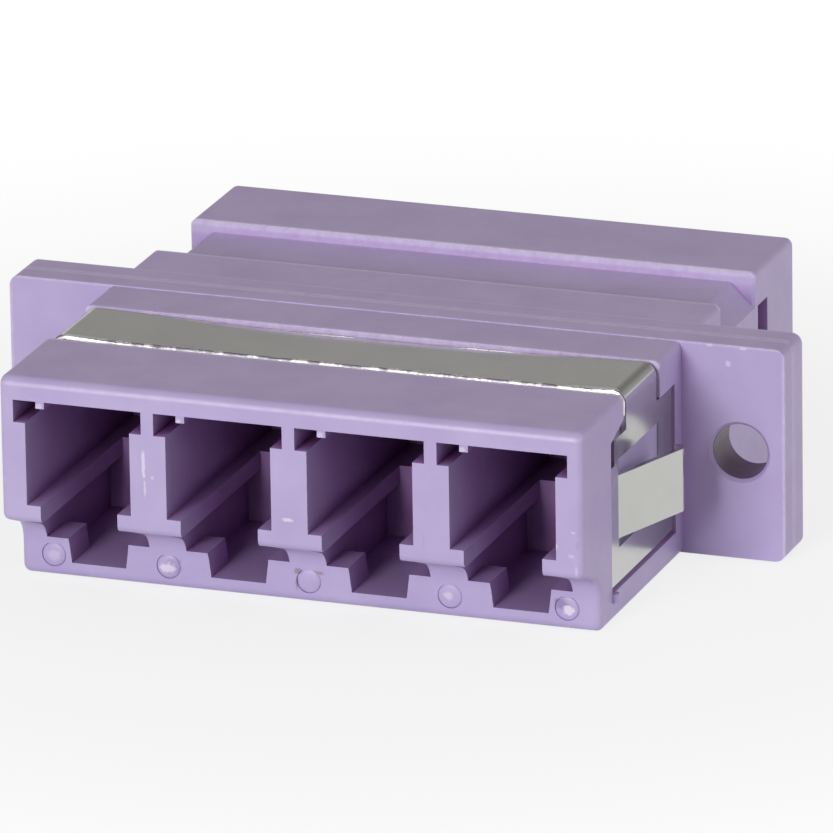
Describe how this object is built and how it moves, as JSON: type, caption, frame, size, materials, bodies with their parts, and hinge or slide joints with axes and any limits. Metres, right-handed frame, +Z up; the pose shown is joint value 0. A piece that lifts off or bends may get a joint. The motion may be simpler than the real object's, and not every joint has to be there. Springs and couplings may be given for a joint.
{
  "type": "lc fibre adapter",
  "caption": "Flanged panel adapter that joins a row of LC fibre plugs front to rear, with a sprung steel panel clip.",
  "frame": {"origin": "under the middle of the flange, on the surface that the body rests on", "axes": "+X along the row of ports to the right, +Y from the clip side through to the rear ports, +Z up, from the latch side of the ports to the roof that carries the clip's strap"},
  "size_m": [0.0348, 0.028, 0.0094],
  "materials": {
    "violet_plastic": "satin moulded",
    "spring_steel": "bright rolled strip",
    "zirconia": "polished zirconia ceramic"
  },
  "bodies": {
    "root": {"housing_front": "violet_plastic", "housing_rear": "violet_plastic", "panel_clip": "spring_steel", "split_sleeve_1": "zirconia", "split_sleeve_2": "zirconia", "split_sleeve_3": "zirconia", "split_sleeve_4": "zirconia"}
  },
  "joints": []
}
